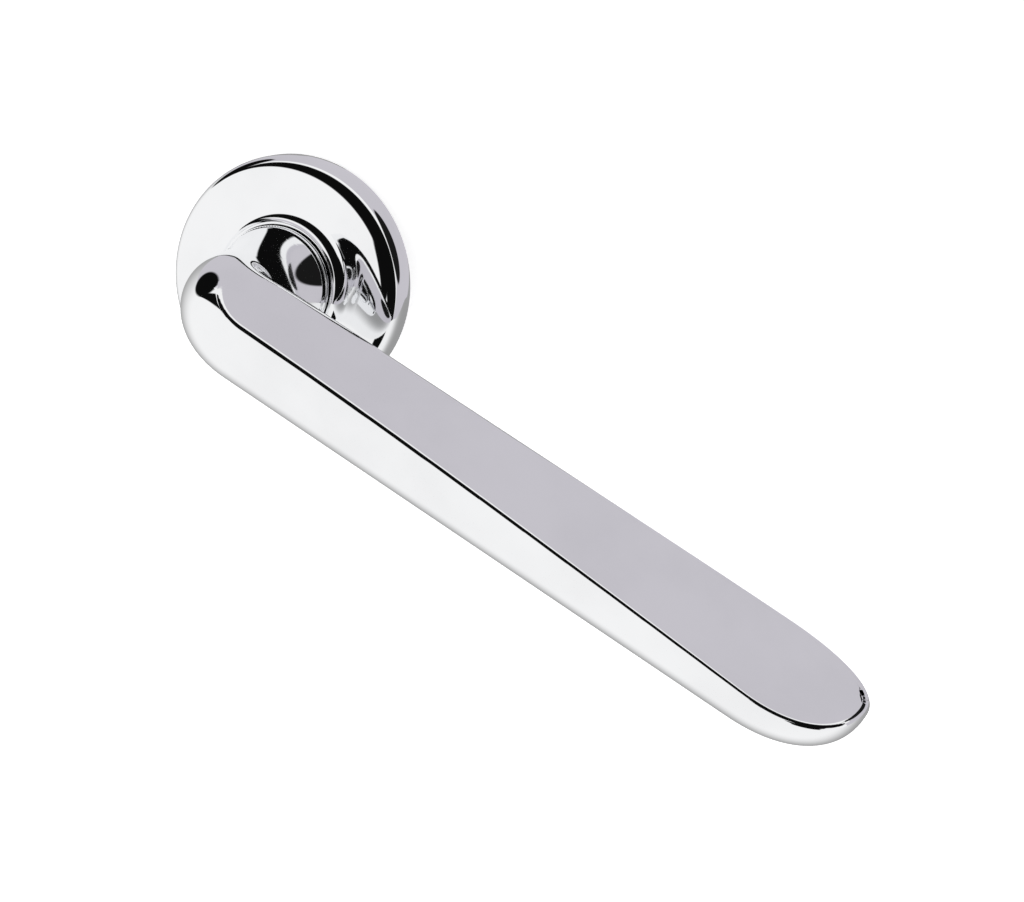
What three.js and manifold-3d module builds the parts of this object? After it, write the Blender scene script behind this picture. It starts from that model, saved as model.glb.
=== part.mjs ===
// Door lever handle on a round sprung rose: one side of a door, lever at rest.
// Frame: origin on the spindle axis in the door face, +X along the grip, -Y out
// of the door, +Z up, millimetres. A "height" is a distance out of the door face.
import * as THREE from 'three';
import { mergeVertices } from 'three/addons/utils/BufferGeometryUtils.js';
import Module from 'manifold-3d';

const wasm = await Module();
wasm.setup();

// ---------------------------------------------------------------- driving sizes
const LEVER_LENGTH = 140; // spindle axis to the tip of the grip
const GRIP_HEIGHT = 37; // door face to the grip's centreline
const NECK_RADIUS = 11.7; // where it passes the rose
const WAIST_RADIUS = 8.5; // where the bend starts
const BEND_RADIUS = 10.8; // of the centreline, from neck to grip
const GRIP_HALF_WIDTH = 10.4; // across the deck
const GRIP_HALF_DEPTH = 9.25; // square to the deck
const DECK_TILT = THREE.MathUtils.degToRad(55.6); // deck normal, from outward towards up
const DECK_HEIGHT = 5.92; // deck over the centreline, at the deck's middle
const DECK_SLOPE = 0.0365; // how fast the deck sinks towards the tip, there
const DECK_BOW = 2230; // radius of its slight arch along the lever
const DECK_FACETS = 16; // flats that the arch is made of
const NOSE_LENGTH = 20;
const NOSE_LIFT = 4.2; // shift of the tip across the deck, towards its upper edge
const NOSE_FULLNESS = 2.25; // exponent of the nose's outline; 2 is an ellipse

const SPINDLE_SIDE = 8;
const SPINDLE_INSIDE = 22; // height of its front end, in the neck
const SPINDLE_BEHIND = 38; // its reach behind the door face
const SPINDLE_CHAMFER = 0.7;

const TURN = THREE.MathUtils.degToRad(45); // lever travel between the stop pins
const POST_PITCH = 38; // vertical distance of the two through-bolt posts
const RIM_HEIGHT = 1.7; // straight side of the rose cover
const CROWN_HEIGHT = 7.7; // top of the rose cover's dome
const CROWN_FULLNESS = 3.4; // exponent of the dome's profile; 2 is an ellipse
const COLLAR_FILLET = 3.1; // hollow between the dome and the neck
const COLLAR_LIP = 0.45; // width of the collar's top edge
const COLLAR_HEIGHT = 1.767; // of that edge over the dome
const COVER_WALL = 1.2;
const COVER_OFF_DOOR = 0.2; // foot of the cover to the door

const RUNNING_GAP = 0.1; // radial, between what turns and what holds it
const AXIAL_GAP = 0.1;
const FIT_GAP = 0.1; // between pieces that are pressed or screwed together
const OVERCUT = 1; // how far a cutter runs past what it cuts

// -------------------------------------------------------- sizes of single pieces
const JOURNAL_WALL = 2.2; // least metal around the square socket's corners
const SOCKET_GAP = 0.1;
const KEY_STEP = 1.6; // how far the front key stands proud of the journal
const KEY_FLAT = 0.85; // flat to axis, as a part of the keyed radius
const CHAMFER = 0.4;

const PLATE_THICKNESS = 2.6;
const PLATE_RECESS = 1.2; // rear pocket that takes the cup's flange
const PLATE_MARGIN = 1.0; // base plate beyond the post heads
const PLAY_UNDER_COVER = 0.6;
const BUSH_WALL = 1.0;
const BUSH_FLANGE = 0.5;
const STOP_PLATE_THICKNESS = 1.6;
const STOP_ARM_WIDTH = 5;
const STOP_PIN_RADIUS = 1.5;
const STOP_PIN_OFFSET = 4.5; // pin circle beyond the neck
const STOP_PIN_OVER = 0.4; // pin above the stop plate
const STOP_PIN_SUNK = 1.0; // pin in the base plate
const STOP_GAP = 0.1; // arm to pin at each end of the turn

const WIRE_RADIUS = 0.9; // return spring
const COIL_PITCH = 2.0;
const COIL_TURNS = 2.5;
const COIL_TO_CAM = 0.35;
const COIL_PLAY_INSIDE = 0.8;
const COIL_PLAY_OUTSIDE = 0.6;
const CUP_WALL = 1.2;
const CUP_FLANGE = 1.0;
const CUP_LEDGE = 1.0; // flange beyond the cup's wall, between the ears
const CUP_BOTTOM = 1.2;
const CAM_THICKNESS = 1.4;
const SLOT_WIDTH = 2.8; // for a leg of the spring

const SCREW_RADIUS = 1.05; // the three cup screws
const SCREW_HEAD_RADIUS = 1.8;
const EAR_MARGIN = 0.5; // cup's ear round a screw head
const SCREW_HEAD = 0.75;
const SCREW_BOSS_RADIUS = 2.2;
const SCREW_BOSS_OVER = 1.9; // boss above the base plate
const SCREW_CLEAR = 0.3; // boss to the turning neck

const POST_RADIUS = 3.5;
const POST_HEAD_RADIUS = 3.2;
const POST_HEAD = 1.1;
const POST_BEHIND = 6; // post beyond the door face
const POST_THREAD_RADIUS = 1.65; // core of an M4 thread
const POST_SHANK_RADIUS = 2.7; // where the post passes the base plate

const SNAP_WIRE_RADIUS = 0.45;
const SNAP_OPENING = THREE.MathUtils.degToRad(24);
const SNAP_HEIGHT = 1.3; // of the wire's centre
const SNAP_PROUD = 0.45; // wire beyond the base plate's edge

const RING_WALL = 1.3; // nylon ring between cover and neck
const RING_HEIGHT = 1.9;

const WASHER_THICKNESS = 0.4;
const WASHER_WAVE = 0.25;
const WASHER_WAVES = 3;
const WASHER_WIDTH = 2.2;
const CLIP_THICKNESS = 1.0;
const CLIP_DEPTH = 0.6; // groove in the journal
const CLIP_WIDTH = 1.9;
const CLIP_LUG_RADIUS = 1.5;
const CLIP_EYE_RADIUS = 0.65;
const CLIP_EYE_OUT = 0.5; // eye beyond the middle of the ring's width
const CLIP_OPENING = THREE.MathUtils.degToRad(56);
const JOURNAL_BEYOND_CLIP = 1.0;

const GRUB_RADIUS = 3; // M6
const GRUB_LENGTH = 6;
const GRUB_HEIGHT = 15.5;
const GRUB_KEY = 1.5; // hexagon key, half across flats
const GRUB_KEY_DEPTH = 2.6;
const GRUB_POINT = 1.0;

// ------------------------------------------------------------------ derived sizes
const socketHalf = SPINDLE_SIDE / 2 + SOCKET_GAP;
const journalRadius = socketHalf * Math.SQRT2 + JOURNAL_WALL;
const frontKeyRadius = journalRadius + KEY_STEP;
const frontKeyFlat = Math.max(frontKeyRadius * KEY_FLAT, journalRadius + SOCKET_GAP);
const rearKeyFlat = journalRadius * KEY_FLAT;

const bushBore = journalRadius + RUNNING_GAP;
const bushRadius = bushBore + BUSH_WALL;
const bushFlangeRadius = NECK_RADIUS - CHAMFER;
const bushTop = PLATE_THICKNESS + FIT_GAP + BUSH_FLANGE;
const stopPlateFoot = bushTop + AXIAL_GAP;
const stopPlateTop = stopPlateFoot + STOP_PLATE_THICKNESS;
const neckFoot = stopPlateTop + AXIAL_GAP;
const stopPinCircle = NECK_RADIUS + STOP_PIN_OFFSET;
const stopPlateReach = stopPinCircle + STOP_PIN_RADIUS;

const coilRadius = journalRadius + COIL_PLAY_INSIDE + WIRE_RADIUS;
const cupBore = coilRadius + WIRE_RADIUS + COIL_PLAY_OUTSIDE;
const cupRadius = cupBore + CUP_WALL;
const coilStart = PLATE_RECESS - AXIAL_GAP - WIRE_RADIUS;
const coilEnd = coilStart - COIL_TURNS * COIL_PITCH;
const camTop = coilEnd - WIRE_RADIUS - COIL_TO_CAM;
const camFoot = camTop - CAM_THICKNESS;
const camRadius = cupBore - COIL_PLAY_OUTSIDE / 2;
const cupFloor = camFoot - AXIAL_GAP - BUSH_FLANGE - FIT_GAP;
const cupFoot = cupFloor - CUP_BOTTOM;
const washerCentre = cupFoot - AXIAL_GAP - WASHER_WAVE - WASHER_THICKNESS / 2;
const clipTop = washerCentre - WASHER_WAVE - WASHER_THICKNESS / 2 - AXIAL_GAP;
const clipFoot = clipTop - CLIP_THICKNESS;
const journalFoot = clipFoot - JOURNAL_BEYOND_CLIP;
const clipGroove = journalRadius - CLIP_DEPTH;

const screwCircle = Math.max(
  NECK_RADIUS + SCREW_CLEAR + SCREW_BOSS_RADIUS,
  cupRadius + SCREW_HEAD_RADIUS,
);
const cupFlangeFoot = PLATE_RECESS - CUP_FLANGE - FIT_GAP;
const cupFlangeTop = cupFlangeFoot + CUP_FLANGE;
const cupFlangeRadius = Math.max(cupRadius + CUP_LEDGE, screwCircle - SCREW_RADIUS);
const earRadius = SCREW_HEAD_RADIUS + EAR_MARGIN;
const plateRadius = POST_PITCH / 2 + POST_HEAD_RADIUS + PLATE_MARGIN;
const coverBore = plateRadius + PLAY_UNDER_COVER;
const roseRadius = coverBore + COVER_WALL;
const neckBore = NECK_RADIUS + RUNNING_GAP + FIT_GAP;
const ringRadius = NECK_RADIUS + RUNNING_GAP + RING_WALL;
const collarEnd = Math.asin(1 - COLLAR_HEIGHT / COLLAR_FILLET); // where the hollow meets the lip
const collarCentre = neckBore + COLLAR_LIP + COLLAR_FILLET * Math.cos(collarEnd);
const ringFoot = stopPlateTop + STOP_PIN_OVER + AXIAL_GAP;
const ringTop = ringFoot + RING_HEIGHT;
const snapCircle = plateRadius - SNAP_WIRE_RADIUS + SNAP_PROUD;
const screwTop = PLATE_THICKNESS + SCREW_BOSS_OVER - CHAMFER;
const bendStart = GRIP_HEIGHT - BEND_RADIUS;
const noseStart = LEVER_LENGTH - NOSE_LENGTH;
const neckTop = CROWN_HEIGHT + COLLAR_FILLET; // straight part of the neck

// Angles round the spindle axis, from +X towards +Z. The arm points away from the grip.
const SCREW_ANGLES = [0, 1, 2].map((i) => (i * Math.PI * 2) / 3);
const POST_ANGLES = [Math.PI / 2, -Math.PI / 2];
const STOP_MIDDLE = Math.PI;
const armHalf = Math.asin((STOP_ARM_WIDTH / 2 + STOP_PIN_RADIUS + STOP_GAP) / stopPinCircle);
const STOP_ANGLES = [STOP_MIDDLE + TURN / 2 + armHalf, STOP_MIDDLE - TURN / 2 - armHalf];
const LEG_ANGLE = THREE.MathUtils.degToRad(-60); // of the spring's leg in the cup
const legLead = WIRE_RADIUS / coilRadius; // angle that a wire's radius spans on the coil
const camAngle = LEG_ANGLE + 4 * legLead + COIL_TURNS * Math.PI * 2; // of its leg in the cam

// ----------------------------------------------------------------- small helpers
const ROUND = 48; // sides of a turned piece
const FINE = 16; // sides of a screw, pin or post
const EYE_SIDES = 12;
const ARC_STEPS = 32; // of a flat plate's round outline
const CLIP_STEPS = 24;
const WIRE_SIDES = 8;
const SPRING_STEPS = 72;
const COIL_POINTS = 16; // guide points in one turn of the coil
const SNAP_SIDES = 6;
const SNAP_STEPS = 40;

/** Surface finish of one piece. */
function finish(color, roughness, metalness) {
  return new THREE.MeshStandardMaterial({ color, roughness, metalness });
}

/** Strips a geometry to merged positions, so that it is a closed solid. */
function closed(geometry) {
  const bare = geometry.clone();
  bare.deleteAttribute('normal');
  bare.deleteAttribute('uv');
  return mergeVertices(bare, 1e-4);
}

/** Solid for joining and cutting. */
function solid(geometry) {
  const bare = closed(geometry);
  const vertProperties = new Float32Array(bare.attributes.position.array);
  const triVerts = new Uint32Array(bare.index.array);
  return new wasm.Manifold(new wasm.Mesh({ numProp: 3, vertProperties, triVerts }));
}

/** Geometry of a joined or cut solid. */
function shaped(body) {
  const mesh = body.getMesh();
  const geometry = new THREE.BufferGeometry();
  geometry.setAttribute('position', new THREE.BufferAttribute(mesh.vertProperties, 3));
  geometry.setIndex(new THREE.BufferAttribute(mesh.triVerts, 1));
  return geometry;
}

/** Turned body on the spindle axis, from a closed outline of [radius, height] points. */
function turned(outline, sides = ROUND) {
  const points = outline.map(([radius, height]) => new THREE.Vector2(radius, -height));
  if (THREE.ShapeUtils.area(points) < 0) points.reverse();
  const onAxis = points[0].x === 0 && points[points.length - 1].x === 0;
  if (!onAxis) points.push(points[0].clone());
  return new THREE.LatheGeometry(points, sides);
}

/** Turned rod of one radius between two heights. */
function rod(radius, foot, top, sides = FINE) {
  return turned([[0, foot], [radius, foot], [radius, top], [0, top]], sides);
}

/** Flat plate cut to a shape in X and Z, from a height upwards. */
function plate(shape, foot, thickness, curveSegments = FINE) {
  const geometry = new THREE.ExtrudeGeometry(shape, {
    depth: thickness, bevelEnabled: false, curveSegments,
  });
  return geometry.rotateX(Math.PI / 2).translate(0, -foot, 0);
}

/** Box between two heights, centred on X and Z. */
function block(width, tall, foot, top) {
  return new THREE.BoxGeometry(width, top - foot, tall).translate(0, -(foot + top) / 2, 0);
}

/** Moves a geometry to a place on a circle round the spindle axis. */
function onCircle(geometry, radius, angle) {
  return geometry.translate(radius * Math.cos(angle), 0, radius * Math.sin(angle));
}

/** Solid skinned over rings of points; the ends close on points, or on each other. */
function skinned(rings, start = null, end = null) {
  const count = rings[0].length;
  const points = rings.flat();
  const index = [];
  const joins = start ? rings.length - 1 : rings.length;
  for (let i = 0; i < joins; i += 1) {
    const a = i * count;
    const b = ((i + 1) % rings.length) * count;
    for (let j = 0; j < count; j += 1) {
      const k = (j + 1) % count;
      index.push(a + j, a + k, b + k, a + j, b + k, b + j);
    }
  }
  if (start) {
    const last = (rings.length - 1) * count;
    const head = points.push(start) - 1;
    const tail = points.push(end) - 1;
    for (let j = 0; j < count; j += 1) {
      const k = (j + 1) % count;
      index.push(head, k, j, tail, last + j, last + k);
    }
  }
  const geometry = new THREE.BufferGeometry().setFromPoints(points);
  geometry.setIndex(index);
  return geometry;
}

/** Round wire along a curve. */
class Wire extends THREE.ExtrudeGeometry {
  constructor(path, radius, steps, sides) {
    const section = new THREE.Shape(
      new THREE.Path().absarc(0, 0, radius, 0, Math.PI * 2).getPoints(sides).slice(0, -1),
    );
    super(section, { extrudePath: path, steps, curveSegments: 1, bevelEnabled: false });
  }
}

/** Outline of a round bar with two flats, square to Z. */
function keyed(path, radius, flat) {
  const edge = Math.acos(flat / radius);
  path.absarc(0, 0, radius, -Math.PI / 2 + edge, Math.PI / 2 - edge, false);
  path.absarc(0, 0, radius, Math.PI / 2 + edge, -Math.PI / 2 - edge, false);
  path.closePath();
  return path;
}

// ------------------------------------------------------------------------- lever
const GRIP_SIDES = 40;
const NECK_STEPS = 5;
const BEND_STEPS = 12;
const GRIP_STEPS = 3;
const NOSE_STEPS = 10;

/** One ring of the lever: centre, side away from the bend, half sizes, shift across. */
function gripRing(centre, side, halfWidth, halfDepth, shift = 0) {
  const up = new THREE.Vector3(0, 0, 1);
  const depthways = side.clone().multiplyScalar(Math.cos(DECK_TILT))
    .addScaledVector(up, Math.sin(DECK_TILT));
  const widthways = side.clone().multiplyScalar(-Math.sin(DECK_TILT))
    .addScaledVector(up, Math.cos(DECK_TILT));
  return Array.from({ length: GRIP_SIDES }, (_, i) => {
    const angle = (i / GRIP_SIDES) * Math.PI * 2;
    return centre.clone()
      .addScaledVector(widthways, shift + halfWidth * Math.cos(angle))
      .addScaledVector(depthways, halfDepth * Math.sin(angle));
  });
}

/** Neck, bend, grip and nose as one smooth bar. */
function leverBar() {
  const rings = [];
  const foot = new THREE.Vector3(0, -neckFoot, 0);
  const inward = new THREE.Vector3(-1, 0, 0);
  rings.push(gripRing(foot, inward, NECK_RADIUS, NECK_RADIUS));
  for (let i = 0; i < NECK_STEPS; i += 1) {
    const share = i / NECK_STEPS;
    const centre = new THREE.Vector3(0, -THREE.MathUtils.lerp(neckTop, bendStart, share), 0);
    const radius = WAIST_RADIUS + (NECK_RADIUS - WAIST_RADIUS) * (1 - share) ** 2;
    rings.push(gripRing(centre, inward, radius, radius));
  }
  for (let i = 0; i <= BEND_STEPS; i += 1) {
    const turn = ((i / BEND_STEPS) * Math.PI) / 2;
    const blend = THREE.MathUtils.smoothstep(i, 0, BEND_STEPS);
    const centre = new THREE.Vector3(
      BEND_RADIUS * (1 - Math.cos(turn)), -bendStart - BEND_RADIUS * Math.sin(turn), 0,
    );
    const side = new THREE.Vector3(-Math.cos(turn), -Math.sin(turn), 0);
    rings.push(gripRing(
      centre, side,
      THREE.MathUtils.lerp(WAIST_RADIUS, GRIP_HALF_WIDTH, blend),
      THREE.MathUtils.lerp(WAIST_RADIUS, GRIP_HALF_DEPTH, blend),
    ));
  }
  const outward = new THREE.Vector3(0, -1, 0);
  for (let i = 1; i <= GRIP_STEPS; i += 1) {
    const x = THREE.MathUtils.lerp(BEND_RADIUS, noseStart, i / GRIP_STEPS);
    const centre = new THREE.Vector3(x, -GRIP_HEIGHT, 0);
    rings.push(gripRing(centre, outward, GRIP_HALF_WIDTH, GRIP_HALF_DEPTH));
  }
  for (let i = 1; i < NOSE_STEPS; i += 1) {
    const turn = ((i / NOSE_STEPS) * Math.PI) / 2;
    const reach = Math.sin(turn) ** (2 / NOSE_FULLNESS);
    const centre = new THREE.Vector3(noseStart + NOSE_LENGTH * reach, -GRIP_HEIGHT, 0);
    const size = Math.cos(turn) ** (2 / NOSE_FULLNESS);
    const [width, depth] = [GRIP_HALF_WIDTH * size, GRIP_HALF_DEPTH * size];
    rings.push(gripRing(centre, outward, width, depth, NOSE_LIFT * (1 - size)));
  }
  const tip = new THREE.Vector3(
    LEVER_LENGTH,
    NOSE_LIFT * Math.sin(DECK_TILT) - GRIP_HEIGHT,
    NOSE_LIFT * Math.cos(DECK_TILT),
  );
  return skinned(rings, foot, tip);
}

/** Everything that lies over one flat of the slightly arched deck, `x` along the lever. */
function overDeck(x) {
  const fromMiddle = x - (LEVER_LENGTH + BEND_RADIUS) / 2;
  const height = DECK_HEIGHT - DECK_SLOPE * fromMiddle - fromMiddle ** 2 / (2 * DECK_BOW);
  const fall = DECK_SLOPE + fromMiddle / DECK_BOW;
  const depthways = new THREE.Vector3(0, -Math.cos(DECK_TILT), Math.sin(DECK_TILT));
  const along = new THREE.Vector3(1, 0, 0).addScaledVector(depthways, -fall).normalize();
  const across = new THREE.Vector3(0, Math.sin(DECK_TILT), Math.cos(DECK_TILT));
  const normal = new THREE.Vector3().crossVectors(along, across);
  const onDeck = new THREE.Vector3(x, -GRIP_HEIGHT, 0).addScaledVector(depthways, height);
  const place = new THREE.Matrix4().makeBasis(along, across, normal);
  place.setPosition(onDeck);
  return new THREE.BoxGeometry(LEVER_LENGTH * 3, LEVER_LENGTH, LEVER_LENGTH)
    .translate(0, 0, LEVER_LENGTH / 2).applyMatrix4(place);
}

/** The bar with its deck planed, one flat after another from the heel to the tip. */
function planedBar() {
  let bar = solid(leverBar());
  for (let flat = 0; flat < DECK_FACETS; flat += 1) {
    const x = (LEVER_LENGTH + BEND_RADIUS) * (flat + 0.5) / DECK_FACETS - BEND_RADIUS;
    bar = bar.subtract(solid(overDeck(x)));
  }
  return bar;
}

/** Turned tail of the lever, behind the neck, with its two keys and the clip's groove. */
function journal() {
  const overlap = CHAMFER;
  const tail = solid(turned([
    [0, journalFoot],
    [journalRadius - CHAMFER, journalFoot],
    [journalRadius, journalFoot + CHAMFER],
    [journalRadius, clipFoot - AXIAL_GAP / 2],
    [clipGroove, clipFoot - AXIAL_GAP / 2],
    [clipGroove, clipTop + AXIAL_GAP / 2],
    [journalRadius, clipTop + AXIAL_GAP / 2],
    [journalRadius, neckFoot + overlap],
    [0, neckFoot + overlap],
  ]));
  const waste = journalRadius;
  const rearFlat = block(waste * 4, waste, journalFoot - CHAMFER, camTop + AXIAL_GAP);
  const flatAt = rearKeyFlat + waste / 2;
  const upper = solid(rearFlat.clone().translate(0, 0, flatAt));
  const lower = solid(rearFlat.clone().translate(0, 0, -flatAt));
  const key = plate(
    keyed(new THREE.Shape(), frontKeyRadius, frontKeyFlat),
    stopPlateFoot, neckFoot - stopPlateFoot + overlap,
  );
  return tail.subtract(upper).subtract(lower).add(solid(key));
}

/** The lever: bar and journal, with its socket and the hole for the grub screw. */
function lever() {
  const socketTop = SPINDLE_INSIDE + SOCKET_GAP;
  const socket = block(2 * socketHalf, 2 * socketHalf, journalFoot - OVERCUT, socketTop);
  const hole = fromBelow(rod(GRUB_RADIUS + FIT_GAP, socketHalf / 2, NECK_RADIUS * 2));
  return shaped(
    planedBar().add(journal())
      .subtract(solid(socket)).subtract(solid(hole)),
  );
}

/** Hexagon-socket grub screw with a cup point, from below against the spindle. */
function grubScrew() {
  const tip = SPINDLE_SIDE / 2 + FIT_GAP;
  const body = solid(turned([
    [0, tip],
    [GRUB_RADIUS - GRUB_POINT, tip],
    [GRUB_RADIUS, tip + GRUB_POINT],
    [GRUB_RADIUS, tip + GRUB_LENGTH - CHAMFER],
    [GRUB_RADIUS - CHAMFER, tip + GRUB_LENGTH],
    [0, tip + GRUB_LENGTH],
  ], FINE));
  const keyRadius = GRUB_KEY / Math.cos(Math.PI / 6);
  const mouth = tip + GRUB_LENGTH;
  const key = solid(rod(keyRadius, mouth - GRUB_KEY_DEPTH, mouth + OVERCUT, 6));
  return fromBelow(shaped(body.subtract(key)));
}

/** Turns a piece made along the spindle axis to point up from below the neck. */
function fromBelow(geometry) {
  return geometry.rotateX(Math.PI / 2).translate(0, -GRUB_HEIGHT, 0);
}

/** Square bar that carries the turn into the lock. */
function spindle() {
  const half = SPINDLE_SIDE / 2;
  const flats = new THREE.Shape();
  flats.moveTo(half - SPINDLE_CHAMFER, -half);
  for (const [x, z] of [[1, -1], [1, 1], [-1, 1], [-1, -1]]) {
    const turnsIn = x * z > 0;
    const near = [x * half, z * (half - SPINDLE_CHAMFER)];
    const far = [x * (half - SPINDLE_CHAMFER), z * half];
    const [first, second] = turnsIn ? [near, far] : [far, near];
    flats.lineTo(...first);
    flats.lineTo(...second);
  }
  return plate(flats, -SPINDLE_BEHIND, SPINDLE_BEHIND + SPINDLE_INSIDE);
}

// -------------------------------------------------------------------- rose cover
const DOME_STEPS = 9;
const FILLET_STEPS = 6;

/** Full-shouldered curve from the rim up to the crown, as [radius, height] points. */
function dome(rimRadius, rimHeight, crownRadius, crownHeight) {
  return Array.from({ length: DOME_STEPS + 1 }, (_, i) => {
    const turn = ((i / DOME_STEPS) * Math.PI) / 2;
    return [
      crownRadius + (rimRadius - crownRadius) * Math.cos(turn) ** (2 / CROWN_FULLNESS),
      rimHeight + (crownHeight - rimHeight) * Math.sin(turn) ** (2 / CROWN_FULLNESS),
    ];
  });
}

/** Domed cover with a hollow collar round the neck. */
function roseCover() {
  const fillet = Array.from({ length: FILLET_STEPS }, (_, i) => {
    const turn = Math.PI / 2 - ((i + 1) / FILLET_STEPS) * (Math.PI / 2 - collarEnd);
    return [
      collarCentre - COLLAR_FILLET * Math.cos(turn),
      CROWN_HEIGHT + COLLAR_FILLET * (1 - Math.sin(turn)),
    ];
  });
  const lipHeight = fillet[fillet.length - 1][1];
  const under = CROWN_HEIGHT - COVER_WALL;
  return turned([
    ...dome(roseRadius, RIM_HEIGHT, collarCentre, CROWN_HEIGHT),
    ...fillet,
    [neckBore, lipHeight],
    [neckBore, ringTop + FIT_GAP],
    [ringRadius + FIT_GAP, ringTop + FIT_GAP],
    [ringRadius + FIT_GAP, ringFoot],
    [ringRadius + FIT_GAP + COVER_WALL, ringFoot],
    ...dome(coverBore, RIM_HEIGHT, ringRadius + FIT_GAP + COVER_WALL, under).reverse().slice(1),
    [coverBore, COVER_OFF_DOOR],
    [roseRadius, COVER_OFF_DOOR],
  ]);
}

/** Nylon ring that guides the cover on the neck. */
function neckRing() {
  const bore = NECK_RADIUS + RUNNING_GAP;
  return turned([
    [bore, ringFoot], [ringRadius, ringFoot], [ringRadius, ringTop], [bore, ringTop],
  ]);
}

/** Open wire ring in the base plate's groove, which the cover snaps over. */
class RingPath extends THREE.Curve {
  constructor(radius, height, opening) {
    super();
    Object.assign(this, { radius, height, opening });
  }

  getPoint(t, target = new THREE.Vector3()) {
    const angle = this.opening / 2 + t * (Math.PI * 2 - this.opening);
    return target.set(
      this.radius * Math.cos(angle), -this.height, this.radius * Math.sin(angle),
    );
  }
}

function snapRing() {
  const path = new RingPath(snapCircle, SNAP_HEIGHT, SNAP_OPENING);
  return new Wire(path, SNAP_WIRE_RADIUS, SNAP_STEPS, SNAP_SIDES);
}

// -------------------------------------------------------------------- base plate
/** Round base plate with its rear pocket, snap groove, screw bosses and holes. */
function basePlate() {
  const grooveHalf = SNAP_WIRE_RADIUS + FIT_GAP;
  const grooveFloor = snapCircle - grooveHalf;
  const disc = solid(turned([
    [bushRadius + FIT_GAP, PLATE_RECESS],
    [cupFlangeRadius + FIT_GAP, PLATE_RECESS],
    [cupFlangeRadius + FIT_GAP, 0],
    [plateRadius, 0],
    [plateRadius, SNAP_HEIGHT - grooveHalf],
    [grooveFloor, SNAP_HEIGHT - grooveHalf],
    [grooveFloor, SNAP_HEIGHT + grooveHalf],
    [plateRadius, SNAP_HEIGHT + grooveHalf],
    [plateRadius, PLATE_THICKNESS - CHAMFER],
    [plateRadius - CHAMFER, PLATE_THICKNESS],
    [bushRadius + FIT_GAP, PLATE_THICKNESS],
  ]));
  let body = disc;
  for (const angle of SCREW_ANGLES) {
    const pocket = rod(earRadius + FIT_GAP, -OVERCUT, PLATE_RECESS);
    body = body.subtract(solid(onCircle(pocket, screwCircle, angle)));
  }
  for (const angle of SCREW_ANGLES) {
    const foot = PLATE_THICKNESS - CHAMFER;
    const boss = rod(SCREW_BOSS_RADIUS, foot, PLATE_THICKNESS + SCREW_BOSS_OVER);
    body = body.add(solid(onCircle(boss, screwCircle, angle)));
  }
  for (const angle of SCREW_ANGLES) {
    const hole = rod(SCREW_RADIUS + FIT_GAP, PLATE_RECESS - OVERCUT, screwTop + FIT_GAP);
    body = body.subtract(solid(onCircle(hole, screwCircle, angle)));
  }
  for (const angle of STOP_ANGLES) {
    const hole = rod(STOP_PIN_RADIUS + FIT_GAP, PLATE_THICKNESS - STOP_PIN_SUNK - FIT_GAP, stopPlateTop);
    body = body.subtract(solid(onCircle(hole, stopPinCircle, angle)));
  }
  for (const angle of POST_ANGLES) {
    const hole = turned([
      [0, -OVERCUT],
      [POST_SHANK_RADIUS + FIT_GAP, -OVERCUT],
      [POST_SHANK_RADIUS + FIT_GAP, PLATE_THICKNESS - POST_HEAD - FIT_GAP],
      [POST_HEAD_RADIUS + FIT_GAP, PLATE_THICKNESS - POST_HEAD - FIT_GAP],
      [POST_HEAD_RADIUS + FIT_GAP, PLATE_THICKNESS + OVERCUT],
      [0, PLATE_THICKNESS + OVERCUT],
    ], FINE);
    body = body.subtract(solid(onCircle(hole, POST_PITCH / 2, angle)));
  }
  return shaped(body);
}

/** Threaded post that takes a bolt from the far side of the door. */
function post() {
  const seat = PLATE_THICKNESS - POST_HEAD;
  return turned([
    [POST_THREAD_RADIUS, -POST_BEHIND],
    [POST_RADIUS - CHAMFER, -POST_BEHIND],
    [POST_RADIUS, -POST_BEHIND + CHAMFER],
    [POST_RADIUS, -FIT_GAP],
    [POST_SHANK_RADIUS, -FIT_GAP],
    [POST_SHANK_RADIUS, seat],
    [POST_HEAD_RADIUS, seat],
    [POST_HEAD_RADIUS, PLATE_THICKNESS],
    [POST_THREAD_RADIUS, PLATE_THICKNESS],
  ], FINE);
}

/** Bearing bush with a thrust flange at its outward end. */
function bush(foot, top, flangeRadius) {
  return turned([
    [bushBore, foot],
    [bushRadius, foot],
    [bushRadius, top - BUSH_FLANGE],
    [flangeRadius, top - BUSH_FLANGE],
    [flangeRadius, top],
    [bushBore, top],
  ]);
}

/** Steel plate keyed to the lever, whose arm swings between the stop pins. */
function stopPlate() {
  const reach = Math.asin(STOP_ARM_WIDTH / 2 / bushFlangeRadius);
  const tip = Math.sqrt(stopPlateReach ** 2 - (STOP_ARM_WIDTH / 2) ** 2);
  const middle = STOP_MIDDLE + TURN / 2;
  const shape = new THREE.Shape();
  shape.absarc(0, 0, bushFlangeRadius, middle + reach, middle - reach + Math.PI * 2, false);
  const turnedTo = (x, z) => [
    x * Math.cos(middle) - z * Math.sin(middle), x * Math.sin(middle) + z * Math.cos(middle),
  ];
  shape.lineTo(...turnedTo(tip, -STOP_ARM_WIDTH / 2));
  shape.lineTo(...turnedTo(tip, STOP_ARM_WIDTH / 2));
  shape.closePath();
  shape.holes.push(keyed(new THREE.Path(), frontKeyRadius + FIT_GAP, frontKeyFlat + FIT_GAP));
  return plate(shape, stopPlateFoot, STOP_PLATE_THICKNESS, ARC_STEPS);
}

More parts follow.
